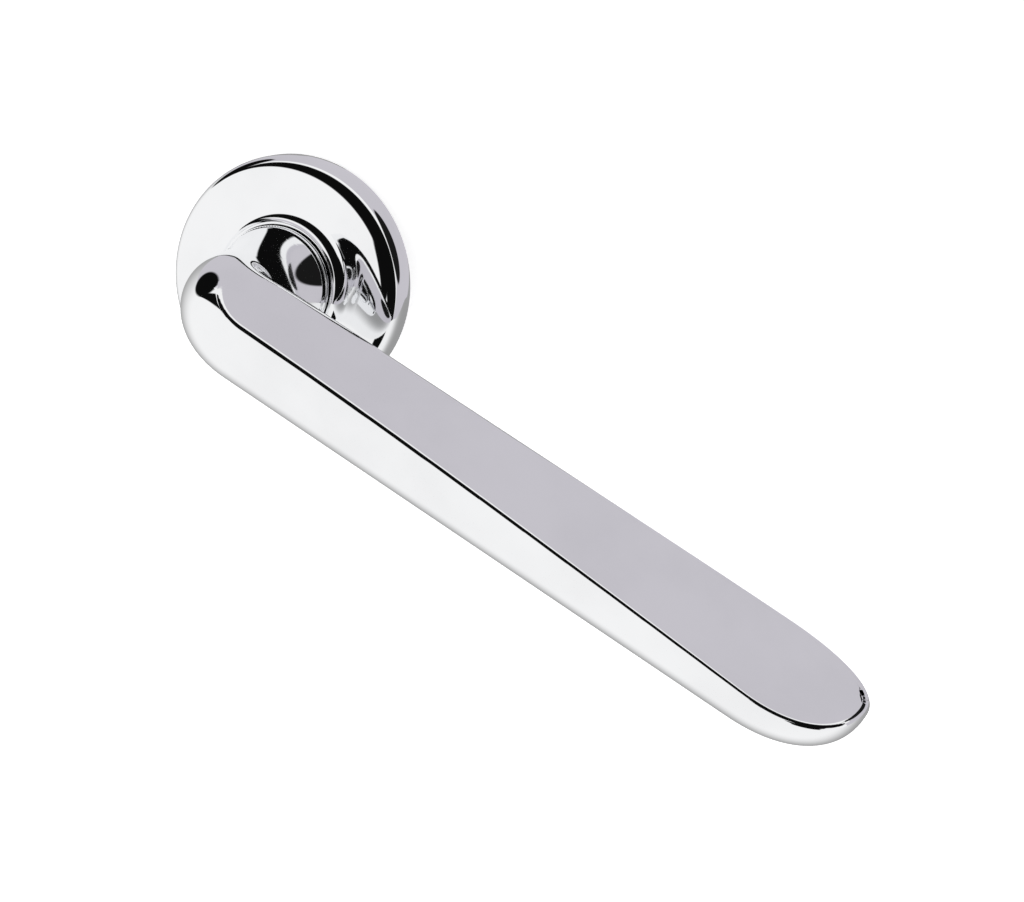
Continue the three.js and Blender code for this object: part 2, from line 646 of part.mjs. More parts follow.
/** Steel pin, sunk in the base plate, that the stop plate's arm meets. */
function stopPin(angle) {
  const foot = PLATE_THICKNESS - STOP_PIN_SUNK;
  const top = stopPlateTop + STOP_PIN_OVER;
  return onCircle(turned([
    [0, foot],
    [STOP_PIN_RADIUS, foot],
    [STOP_PIN_RADIUS, top - CHAMFER],
    [STOP_PIN_RADIUS - CHAMFER, top],
    [0, top],
  ], FINE), stopPinCircle, angle);
}

// ------------------------------------------------------------------- spring cup
/** Pressed cup behind the door face, round the return spring. */
function springCup() {
  let body = solid(turned([
    [bushRadius + FIT_GAP, cupFoot],
    [cupRadius - CHAMFER, cupFoot],
    [cupRadius, cupFoot + CHAMFER],
    [cupRadius, cupFlangeFoot],
    [cupFlangeRadius, cupFlangeFoot],
    [cupFlangeRadius, cupFlangeTop],
    [cupBore, cupFlangeTop],
    [cupBore, cupFloor],
    [bushRadius + FIT_GAP, cupFloor],
  ]));
  for (const angle of SCREW_ANGLES) {
    const ear = solid(onCircle(rod(earRadius, cupFlangeFoot, cupFlangeTop), screwCircle, angle));
    const bore = solid(rod(cupBore + CUP_WALL / 2, cupFlangeFoot - OVERCUT, cupFlangeTop + OVERCUT, ROUND));
    body = body.add(ear.subtract(bore));
  }
  for (const angle of SCREW_ANGLES) {
    const hole = turned([
      [0, cupFlangeFoot - OVERCUT],
      [SCREW_HEAD_RADIUS + FIT_GAP, cupFlangeFoot - OVERCUT],
      [SCREW_HEAD_RADIUS + FIT_GAP, cupFlangeFoot],
      [SCREW_RADIUS + FIT_GAP, cupFlangeFoot + SCREW_HEAD],
      [SCREW_RADIUS + FIT_GAP, cupFlangeTop + OVERCUT],
      [0, cupFlangeTop + OVERCUT],
    ], FINE);
    body = body.subtract(solid(onCircle(hole, screwCircle, angle)));
  }
  for (const angle of POST_ANGLES) {
    const clearance = rod(POST_RADIUS + FIT_GAP, -POST_BEHIND - FIT_GAP, cupFlangeTop + FIT_GAP);
    body = body.subtract(solid(onCircle(clearance, POST_PITCH / 2, angle)));
  }
  const slot = block(CUP_WALL * 4, SLOT_WIDTH, coilStart - SLOT_WIDTH / 2, cupFlangeTop + OVERCUT)
    .translate(cupBore + CUP_WALL, 0, 0).rotateY(-LEG_ANGLE);
  return shaped(body.subtract(solid(slot)));
}

/** Countersunk screw that holds the cup's flange to the base plate. */
function cupScrew(angle) {
  const foot = cupFlangeFoot;
  const body = solid(turned([
    [0, foot + FIT_GAP / 2],
    [SCREW_HEAD_RADIUS, foot + FIT_GAP / 2],
    [SCREW_RADIUS, foot + SCREW_HEAD],
    [SCREW_RADIUS, screwTop - CHAMFER],
    [SCREW_RADIUS / 2, screwTop],
    [0, screwTop],
  ], FINE));
  const slotWidth = SCREW_RADIUS / 2;
  const slotDepth = SCREW_HEAD / 2;
  const one = solid(block(2 * SCREW_RADIUS, slotWidth, foot - OVERCUT, foot + slotDepth));
  const two = solid(block(slotWidth, 2 * SCREW_RADIUS, foot - OVERCUT, foot + slotDepth));
  return onCircle(shaped(body.subtract(one).subtract(two)), screwCircle, angle);
}

/** Centreline of the return spring: leg in the cup's slot, coil, leg in the cam. */
function springPath() {
  const at = (radius, angle, height) => new THREE.Vector3(
    radius * Math.cos(angle), -height, radius * Math.sin(angle),
  );
  const points = [
    at(cupRadius - FIT_GAP, LEG_ANGLE, coilStart),
    at(cupBore + FIT_GAP, LEG_ANGLE, coilStart),
  ];
  const steps = Math.round(COIL_TURNS * COIL_POINTS);
  for (let i = 0; i <= steps; i += 1) {
    const share = i / steps;
    const angle = LEG_ANGLE + 2 * legLead + share * COIL_TURNS * Math.PI * 2;
    points.push(at(coilRadius, angle, THREE.MathUtils.lerp(coilStart, coilEnd, share)));
  }
  points.push(at(coilRadius, camAngle, coilEnd - WIRE_RADIUS));
  points.push(at(coilRadius, camAngle, camFoot + FIT_GAP));
  return new THREE.CatmullRomCurve3(points, false, 'centripetal');
}

/** Torsion spring that lifts the lever back to level. */
function returnSpring() {
  return new Wire(springPath(), WIRE_RADIUS, SPRING_STEPS, WIRE_SIDES);
}

/** Disc keyed to the journal, with a notch for the spring's rear leg. */
function driveCam() {
  const shape = new THREE.Shape();
  shape.absarc(0, 0, camRadius, 0, Math.PI * 2, false);
  shape.holes.push(keyed(new THREE.Path(), journalRadius + FIT_GAP, rearKeyFlat + FIT_GAP));
  const notch = block(camRadius, SLOT_WIDTH, camFoot - OVERCUT, camTop + OVERCUT)
    .translate(coilRadius - WIRE_RADIUS - FIT_GAP + camRadius / 2, 0, 0).rotateY(-camAngle);
  const disc = solid(plate(shape, camFoot, CAM_THICKNESS, ARC_STEPS));
  return shaped(disc.subtract(solid(notch)));
}

/** Thin spring washer with an even wave. */
function waveWasher() {
  const inner = journalRadius + RUNNING_GAP;
  const half = WASHER_THICKNESS / 2;
  const rings = Array.from({ length: ROUND }, (_, i) => {
    const angle = (i / ROUND) * Math.PI * 2;
    const middle = washerCentre + WASHER_WAVE * Math.cos(WASHER_WAVES * angle);
    return [[inner, half], [inner + WASHER_WIDTH, half], [inner + WASHER_WIDTH, -half], [inner, -half]]
      .map(([radius, rise]) => new THREE.Vector3(
        radius * Math.cos(angle), -(middle + rise), radius * Math.sin(angle),
      ));
  });
  return skinned(rings);
}

/** Open retaining ring with two lugs and their plier holes. */
function retainingRing() {
  const inner = clipGroove + AXIAL_GAP / 2;
  const outer = inner + CLIP_WIDTH;
  const eyeCircle = (inner + outer) / 2 + CLIP_EYE_OUT;
  const shape = new THREE.Shape();
  const half = CLIP_OPENING / 2;
  shape.absarc(0, 0, outer, -Math.PI / 2 + half, Math.PI * 1.5 - half, false);
  shape.absarc(0, 0, inner, Math.PI * 1.5 - half, -Math.PI / 2 + half, true);
  shape.closePath();
  let body = solid(plate(shape, clipFoot, CLIP_THICKNESS, CLIP_STEPS));
  for (const side of [-1, 1]) {
    const angle = -Math.PI / 2 + side * (half + CLIP_EYE_RADIUS / eyeCircle);
    const lug = rod(CLIP_LUG_RADIUS, clipFoot, clipTop);
    body = body.add(solid(onCircle(lug, eyeCircle, angle)));
  }
  const bore = solid(rod(inner, clipFoot - OVERCUT, clipTop + OVERCUT, ROUND));
  body = body.subtract(bore);
  for (const side of [-1, 1]) {
    const angle = -Math.PI / 2 + side * (half + CLIP_EYE_RADIUS / eyeCircle);
    const eye = rod(CLIP_EYE_RADIUS, clipFoot - OVERCUT, clipTop + OVERCUT, EYE_SIDES);
    body = body.subtract(solid(onCircle(eye, eyeCircle, angle)));
  }
  return shaped(body);
}

// ------------------------------------------------------------------- the assembly
const handle = new THREE.Group();

/** Adds one named piece. */
function piece(name, geometry, material) {
  const mesh = new THREE.Mesh(geometry, material);
  mesh.name = name;
  handle.add(mesh);
}

const chrome = finish(0xdcdee3, 0.06, 1);
const zinc = finish(0xa9adb3, 0.42, 0.9);
const steel = finish(0x8c9096, 0.3, 1);
const blackSteel = finish(0x2c2d30, 0.45, 0.9);
const nylon = finish(0xe9e6dc, 0.55, 0);

piece('lever', lever(), chrome);
piece('grub_screw', grubScrew(), blackSteel);
piece('square_spindle', spindle(), steel);
piece('rose_cover', roseCover(), chrome);
piece('neck_ring', neckRing(), nylon);
piece('snap_ring', snapRing(), steel);
piece('base_plate', basePlate(), zinc);
piece('upper_post', onCircle(post(), POST_PITCH / 2, POST_ANGLES[0]), steel);
piece('lower_post', onCircle(post(), POST_PITCH / 2, POST_ANGLES[1]), steel);
piece('front_bush', bush(PLATE_RECESS, bushTop, bushFlangeRadius), nylon);
piece('stop_plate', stopPlate(), steel);
piece('rest_stop_pin', stopPin(STOP_ANGLES[0]), steel);
piece('end_stop_pin', stopPin(STOP_ANGLES[1]), steel);
piece('spring_cup', springCup(), zinc);
SCREW_ANGLES.forEach((angle, i) => piece(`cup_screw_${i + 1}`, cupScrew(angle), blackSteel));
piece('return_spring', returnSpring(), steel);
piece('drive_cam', driveCam(), zinc);
piece('rear_bush', bush(cupFoot, cupFloor + FIT_GAP + BUSH_FLANGE, cupBore - FIT_GAP), nylon);
piece('wave_washer', waveWasher(), steel);
piece('retaining_ring', retainingRing(), blackSteel);

export default handle;
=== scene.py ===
"""Door lever handle on a round sprung rose: the finished visual model.

Lengths are in metres. The frame is the CAD's: origin on the spindle axis in the
door face, +X along the grip, -Y out of the door, +Z up. A "height" is a distance
out of the door face.
"""
import logging
import math
from dataclasses import dataclass, field
from enum import Enum

import bmesh
import bpy
from mathutils import Matrix, Vector

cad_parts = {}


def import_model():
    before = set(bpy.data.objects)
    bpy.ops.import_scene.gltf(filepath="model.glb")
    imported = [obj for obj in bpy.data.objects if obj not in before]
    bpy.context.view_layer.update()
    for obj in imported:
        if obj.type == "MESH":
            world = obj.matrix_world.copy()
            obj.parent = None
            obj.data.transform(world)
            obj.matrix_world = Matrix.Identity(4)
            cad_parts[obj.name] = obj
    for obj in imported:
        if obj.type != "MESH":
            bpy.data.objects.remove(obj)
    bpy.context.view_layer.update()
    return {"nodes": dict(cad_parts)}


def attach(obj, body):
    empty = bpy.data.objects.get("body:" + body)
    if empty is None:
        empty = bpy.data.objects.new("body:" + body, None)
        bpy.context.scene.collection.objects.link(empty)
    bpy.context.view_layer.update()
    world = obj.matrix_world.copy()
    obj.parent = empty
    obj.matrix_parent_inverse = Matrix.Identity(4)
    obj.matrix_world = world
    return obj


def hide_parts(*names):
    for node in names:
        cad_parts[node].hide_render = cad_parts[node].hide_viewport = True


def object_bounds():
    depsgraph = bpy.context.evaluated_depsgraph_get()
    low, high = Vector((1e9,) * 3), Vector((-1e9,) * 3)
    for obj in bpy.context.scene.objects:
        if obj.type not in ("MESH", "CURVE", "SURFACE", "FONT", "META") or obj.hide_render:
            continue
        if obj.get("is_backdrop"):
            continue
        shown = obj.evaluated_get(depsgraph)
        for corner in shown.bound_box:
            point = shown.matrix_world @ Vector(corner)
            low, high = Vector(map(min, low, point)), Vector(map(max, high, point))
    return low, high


MM = 0.001
GRAIN_DEPTH = 0.05 * MM
GROOVE_DEPTH = 0.01 * MM
GROOVE_ROUGHNESS = 0.012
PALE = (0.9, 0.9, 0.9, 1)
WHITE = (1, 1, 1, 1)
LOG = logging.getLogger("door_handle")

Point = tuple[float, float]
Colour = tuple[float, float, float]


class Body(Enum):
    """The three bodies that the pieces ride on."""

    ROSE = "rose_base"
    LEVER = "lever_body"
    COVER = "cover"


class Slot(Enum):
    """The record's finishes."""

    CHROME = "polished_chrome"
    BLACK = "black_steel"
    ZINC_PLATE = "zinc_plated_steel"
    SPRING = "spring_steel"
    CASTING = "zinc_casting"
    NYLON = "nylon"


# ---------------------------------------------------------------- modelling by hand
class Bench:
    """The few modelling operations that every piece is made with."""

    MERGE = 1e-6

    @staticmethod
    def clear() -> None:
        """Leaves edit mode with nothing selected."""
        if bpy.context.object and bpy.context.object.mode != "OBJECT":
            bpy.ops.object.mode_set(mode="OBJECT")
        bpy.ops.object.select_all(action="DESELECT")

    @staticmethod
    def only(piece: bpy.types.Object) -> None:
        """Makes one piece the only selected and the active one."""
        Bench.clear()
        piece.select_set(True)
        bpy.context.view_layer.objects.active = piece

    @staticmethod
    def named(name: str) -> bpy.types.Object:
        """Names the active piece and puts its place in its mesh.

        Args:
            name: Name of the piece.

        Returns:
            The piece.
        """
        piece = bpy.context.object
        piece.name = name
        piece.data.name = name
        bpy.ops.object.transform_apply(location=True, rotation=True, scale=True)
        return piece

    @staticmethod
    def edit(piece: bpy.types.Object) -> None:
        """Opens a piece with everything in it selected."""
        Bench.only(piece)
        bpy.ops.object.mode_set(mode="EDIT")
        bpy.ops.mesh.select_all(action="SELECT")

    @staticmethod
    def close(piece: bpy.types.Object) -> bpy.types.Object:
        """Merges doubles, turns the faces outwards and leaves edit mode."""
        bpy.ops.mesh.select_all(action="SELECT")
        bpy.ops.mesh.remove_doubles(threshold=Bench.MERGE)
        bpy.ops.mesh.normals_make_consistent(inside=False)
        bpy.ops.object.mode_set(mode="OBJECT")
        return piece

    @staticmethod
    def turned(name: str, outline: list[Point], sides: int) -> bpy.types.Object:
        """Turns a closed outline round the spindle axis.

        Args:
            name: Name of the piece.
            outline: Radius and height of each corner, in metres.
            sides: Steps of the full turn.

        Returns:
            The turned piece.
        """
        Bench.clear()
        bpy.ops.mesh.primitive_plane_add(size=MM)
        piece = Bench.named(name)
        Bench.edit(piece)
        bpy.ops.mesh.merge(type="CENTER")
        radius, height = outline[0]
        bpy.ops.transform.translate(value=(radius, -height, 0))
        for next_radius, next_height in outline[1:] + outline[:1]:
            step = (next_radius - radius, height - next_height, 0)
            bpy.ops.mesh.extrude_region_move(TRANSFORM_OT_translate={"value": step})
            radius, height = next_radius, next_height
        bpy.ops.mesh.select_all(action="SELECT")
        bpy.ops.mesh.spin(steps=sides, angle=math.tau, center=(0, 0, 0), axis=(0, 1, 0))
        return Bench.close(piece)

    @staticmethod
    def apply(piece: bpy.types.Object, kind: str, **values: object) -> None:
        """Adds a modifier with the given values and applies it."""
        Bench.only(piece)
        modifier = piece.modifiers.new(kind.title(), kind)
        for key, value in values.items():
            setattr(modifier, key, value)
        bpy.ops.object.modifier_apply(modifier=modifier.name)

    @staticmethod
    def cut(piece: bpy.types.Object, cutter: bpy.types.Object) -> None:
        """Cuts one piece out of another and takes the cutter away."""
        Bench.apply(piece, "BOOLEAN", operation="DIFFERENCE", solver="EXACT", object=cutter)
        bpy.data.objects.remove(cutter)

    @staticmethod
    def block(size: Vector, centre: Vector) -> bpy.types.Object:
        """Makes a box for cutting.

        Args:
            size: Its three lengths.
            centre: Its middle.

        Returns:
            The box.
        """
        Bench.clear()
        bpy.ops.mesh.primitive_cube_add(size=1, location=centre, scale=size)
        return Bench.named("cutter")

    @staticmethod
    def bevel(piece: bpy.types.Object, width: float, angle: float, segments: int = 2) -> None:
        """Rounds every edge sharper than an angle."""
        Bench.apply(
            piece, "BEVEL", width=width, segments=segments, limit_method="ANGLE",
            angle_limit=angle, use_clamp_overlap=True,
        )

    @staticmethod
    def smooth(piece: bpy.types.Object, angle: float) -> None:
        """Shades a piece smooth, apart from edges sharper than an angle."""
        Bench.only(piece)
        bpy.ops.object.shade_smooth_by_angle(angle=angle)

    @staticmethod
    def copy_of(node: bpy.types.Object, name: str) -> bpy.types.Object:
        """Takes a merged copy of a CAD node to finish.

        Args:
            node: The CAD node, which is left as it is.
            name: Name of the copy.

        Returns:
            The copy, at the origin and riding on nothing yet.
        """
        piece = bpy.data.objects.new(name, node.data.copy())
        bpy.context.scene.collection.objects.link(piece)
        piece.data.materials.clear()
        Bench.edit(piece)
        bpy.ops.mesh.remove_doubles(threshold=MM / 100)
        bpy.ops.mesh.dissolve_limited(angle_limit=math.radians(0.5))
        bpy.ops.object.mode_set(mode="OBJECT")
        return piece


# ------------------------------------------------------------------ shader building
@dataclass
class Shader:
    """A node tree that is being wired."""

    tree: bpy.types.NodeTree

    def add(self, kind: str, **values: object) -> bpy.types.Node:
        """Adds a node and sets its own properties."""
        node = self.tree.nodes.new(kind)
        for key, value in values.items():
            setattr(node, key, value)
        return node

    def link(self, source: bpy.types.NodeSocket, target: bpy.types.NodeSocket) -> None:
        """Joins two sockets."""
        self.tree.links.new(source, target)

    def math(self, operation: str, *terms: object, clamp: bool = False) -> bpy.types.NodeSocket:
        """Adds a sum on sockets and numbers.

        Args:
            operation: Blender's name of the operation.
            *terms: Sockets or numbers, in order.
            clamp: Whether the result is held between 0 and 1.

        Returns:
            The result's socket.
        """
        node = self.add("ShaderNodeMath", operation=operation, use_clamp=clamp)
        for socket, term in zip(node.inputs, terms):
            if isinstance(term, bpy.types.NodeSocket):
                self.link(term, socket)
            else:
                socket.default_value = term
        return node.outputs[0]

    def ramp(
        self, value: bpy.types.NodeSocket, low: float, high: float,
        to_low: float = 0.0, to_high: float = 1.0,
    ) -> bpy.types.NodeSocket:
        """Eases a value from one range to another and returns the result's socket."""
        node = self.add("ShaderNodeMapRange", interpolation_type="SMOOTHSTEP")
        self.link(value, node.inputs["Value"])
        for key, number in (
            ("From Min", low), ("From Max", high), ("To Min", to_low), ("To Max", to_high),
        ):
            node.inputs[key].default_value = number
        return node.outputs["Result"]

    def mix(
        self, mask: bpy.types.NodeSocket, first: object, second: object,
    ) -> bpy.types.NodeSocket:
        """Mixes two colours by a mask and returns the result's socket."""
        node = self.add("ShaderNodeMix", data_type="RGBA")
        self.link(mask, node.inputs["Factor"])
        for socket, term in ((node.inputs[6], first), (node.inputs[7], second)):
            if isinstance(term, bpy.types.NodeSocket):
                self.link(term, socket)
            else:
                socket.default_value = (*term, 1.0)
        return node.outputs[2]


class Effects:
    """Surface effects that several finishes share, as node groups built once."""

    _made: dict[str, bpy.types.NodeTree] = {}

    @classmethod
    def _group(
        cls, name: str, inputs: dict[str, float], outputs: list[str],
    ) -> tuple[Shader, dict, dict]:
        """Starts a group with a vector and named number inputs.

        Args:
            name: Name of the group.
            inputs: Number inputs and their defaults.
            outputs: Number outputs.

        Returns:
            The shader, its inputs by name and its outputs by name.
        """
        tree = bpy.data.node_groups.new(name, "ShaderNodeTree")
        tree.interface.new_socket("Vector", in_out="INPUT", socket_type="NodeSocketVector")
        for key, value in inputs.items():
            socket = tree.interface.new_socket(
                key, in_out="INPUT", socket_type="NodeSocketFloat",
            )
            socket.default_value = value
        for key in outputs:
            tree.interface.new_socket(key, in_out="OUTPUT", socket_type="NodeSocketFloat")
        shader = Shader(tree)
        start = shader.add("NodeGroupInput")
        end = shader.add("NodeGroupOutput")
        cls._made[name] = tree
        return shader, start.outputs, end.inputs

    @classmethod
    def polish(cls) -> bpy.types.NodeTree:
        """Faint cloudiness and hairlines of a hand-polished plated surface."""
        name = "polish_marks"
        if name in cls._made:
            return cls._made[name]
        shader, into, out = cls._group(
            name, {"Cloud Scale": 60.0, "Hairline Scale": 900.0}, ["Cloud", "Hairline"],
        )
        cloud = shader.add("ShaderNodeTexNoise")
        cloud.inputs["Detail"].default_value = 4.0
        shader.link(into["Vector"], cloud.inputs["Vector"])
        shader.link(into["Cloud Scale"], cloud.inputs["Scale"])
        shader.link(shader.ramp(cloud.outputs[0], 0.35, 0.7), out["Cloud"])
        stretch = shader.add("ShaderNodeMapping")
        stretch.inputs["Scale"].default_value = (0.06, 1.0, 1.0)
        stretch.inputs["Rotation"].default_value = (0.3, 0.2, 0.5)
        shader.link(into["Vector"], stretch.inputs["Vector"])
        hair = shader.add("ShaderNodeTexNoise")
        hair.inputs["Detail"].default_value = 2.0
        shader.link(stretch.outputs[0], hair.inputs["Vector"])
        shader.link(into["Hairline Scale"], hair.inputs["Scale"])
        shader.link(shader.ramp(hair.outputs[0], 0.62, 0.74), out["Hairline"])
        return cls._made[name]

    @classmethod
    def grain(cls) -> bpy.types.NodeTree:
        """Fine grain with coarser blotches, as on castings, plating and moulded parts."""
        name = "surface_grain"
        if name in cls._made:
            return cls._made[name]
        shader, into, out = cls._group(
            name, {"Grain Scale": 1800.0, "Blotch Scale": 140.0}, ["Grain", "Blotch"],
        )
        for label, detail in (("Grain", 3.0), ("Blotch", 5.0)):
            noise = shader.add("ShaderNodeTexNoise")
            noise.inputs["Detail"].default_value = detail
            shader.link(into["Vector"], noise.inputs["Vector"])
            shader.link(into[f"{label} Scale"], noise.inputs["Scale"])
            shader.link(shader.ramp(noise.outputs[0], 0.3, 0.7), out[label])
        return cls._made[name]


# ------------------------------------------------------------------------- finishes
@dataclass(frozen=True)
class Finish:
    """A metal or plastic with grain and blotches of its own."""

    slot: Slot
    light: Colour
    dark: Colour
    metallic: float
    smoothest: float
    roughest: float
    bump: float
    grain_scale: float = 1800.0
    blotch_scale: float = 140.0

    def material(self) -> bpy.types.Material:
        """Builds the finish's material once and returns it."""
        known = bpy.data.materials.get(f"{self.slot.value}_finish")
        if known:
            return known
        material = bpy.data.materials.new(f"{self.slot.value}_finish")
        material.use_nodes = True
        shader = Shader(material.node_tree)
        surface = shader.tree.nodes["Principled BSDF"]
        surface.inputs["Metallic"].default_value = self.metallic
        place = shader.add("ShaderNodeTexCoord")
        self.dress(shader, surface, place.outputs["Object"])
        return material

    def dress(
        self, shader: Shader, surface: bpy.types.Node, place: bpy.types.NodeSocket,
    ) -> None:
        """Wires the finish's detail to its surface.

        Args:
            shader: The material's nodes.
            surface: The material's Principled node.
            place: Position on the object.
        """
        grain = shader.add("ShaderNodeGroup", node_tree=Effects.grain())
        grain.inputs["Grain Scale"].default_value = self.grain_scale
        grain.inputs["Blotch Scale"].default_value = self.blotch_scale
        shader.link(place, grain.inputs["Vector"])
        colour = shader.mix(grain.outputs["Blotch"], self.light, self.dark)
        shader.link(colour, surface.inputs["Base Color"])
        rough = shader.ramp(
            grain.outputs["Blotch"], 0.0, 1.0, self.smoothest, self.roughest,
        )
        shader.link(rough, surface.inputs["Roughness"])
        bump = shader.add("ShaderNodeBump")
        bump.inputs["Strength"].default_value = self.bump
        bump.inputs["Distance"].default_value = GRAIN_DEPTH
        shader.link(grain.outputs["Grain"], bump.inputs["Height"])
        shader.link(bump.outputs["Normal"], surface.inputs["Normal"])


@dataclass(frozen=True)
class MirrorChrome(Finish):
    """Mirror-polished chrome plate, with faint polishing marks."""

    def dress(
        self, shader: Shader, surface: bpy.types.Node, place: bpy.types.NodeSocket,
    ) -> None:
        """Wires the plate's detail to its surface.

        Args:
            shader: The material's nodes.
            surface: The material's Principled node.
            place: Position on the object.
        """
        marks = shader.add("ShaderNodeGroup", node_tree=Effects.polish())
        shader.link(place, marks.inputs["Vector"])
        colour = shader.mix(marks.outputs["Cloud"], self.light, self.dark)
        shader.link(colour, surface.inputs["Base Color"])
        cloud = shader.ramp(marks.outputs["Cloud"], 0.0, 1.0, self.smoothest, self.roughest)
        rough = shader.math("MULTIPLY_ADD", marks.outputs["Hairline"], GROOVE_ROUGHNESS, cloud)
        shader.link(rough, surface.inputs["Roughness"])
        bump = shader.add("ShaderNodeBump")
        bump.inputs["Strength"].default_value = self.bump
        bump.inputs["Distance"].default_value = GROOVE_DEPTH
        shader.link(marks.outputs["Hairline"], bump.inputs["Height"])
        shader.link(bump.outputs["Normal"], surface.inputs["Normal"])


CHROME = MirrorChrome(
    Slot.CHROME, (0.94, 0.945, 0.955), (0.90, 0.905, 0.915), 1.0, 0.018, 0.04, 0.04,
)
BLACK_OXIDE = Finish(
    Slot.BLACK, (0.045, 0.045, 0.05), (0.02, 0.02, 0.022), 0.9, 0.32, 0.5, 0.3,
)
ZINC_PLATE = Finish(
    Slot.ZINC_PLATE, (0.66, 0.68, 0.71), (0.5, 0.52, 0.56), 1.0, 0.2, 0.36, 0.15, 1400.0, 90.0,
)
SPRING_STEEL = Finish(
    Slot.SPRING, (0.42, 0.42, 0.44), (0.28, 0.28, 0.3), 1.0, 0.24, 0.38, 0.2, 2200.0, 200.0,
)
CASTING = Finish(
    Slot.CASTING, (0.55, 0.57, 0.6), (0.4, 0.42, 0.45), 0.9, 0.38, 0.58, 0.6, 1500.0, 110.0,
)
NYLON = Finish(
    Slot.NYLON, (0.86, 0.85, 0.8), (0.8, 0.78, 0.72), 0.0, 0.4, 0.55, 0.2, 2500.0, 160.0,
)


def fit_out(piece: bpy.types.Object, body: Body, finish: Finish, *nodes: str) -> None:
    """Dresses a finished piece, hangs it on its body and reports it.

    Args:
        piece: The piece, at rest.
        body: The body that it rides on.
        finish: Its finish.
        *nodes: CAD nodes that it stands for.
    """
    piece.data.materials.clear()
    piece.data.materials.append(finish.material())
    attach(piece, body.value)
    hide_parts(*nodes)
    LOG.info("%s: %d faces", piece.name, len(piece.data.polygons))


# ---------------------------------------------------------------------------- lever
@dataclass
class Ring:
    """One section of the lever's bar."""

    centre: Vector
    turn: float
    half_width: float
    half_depth: float


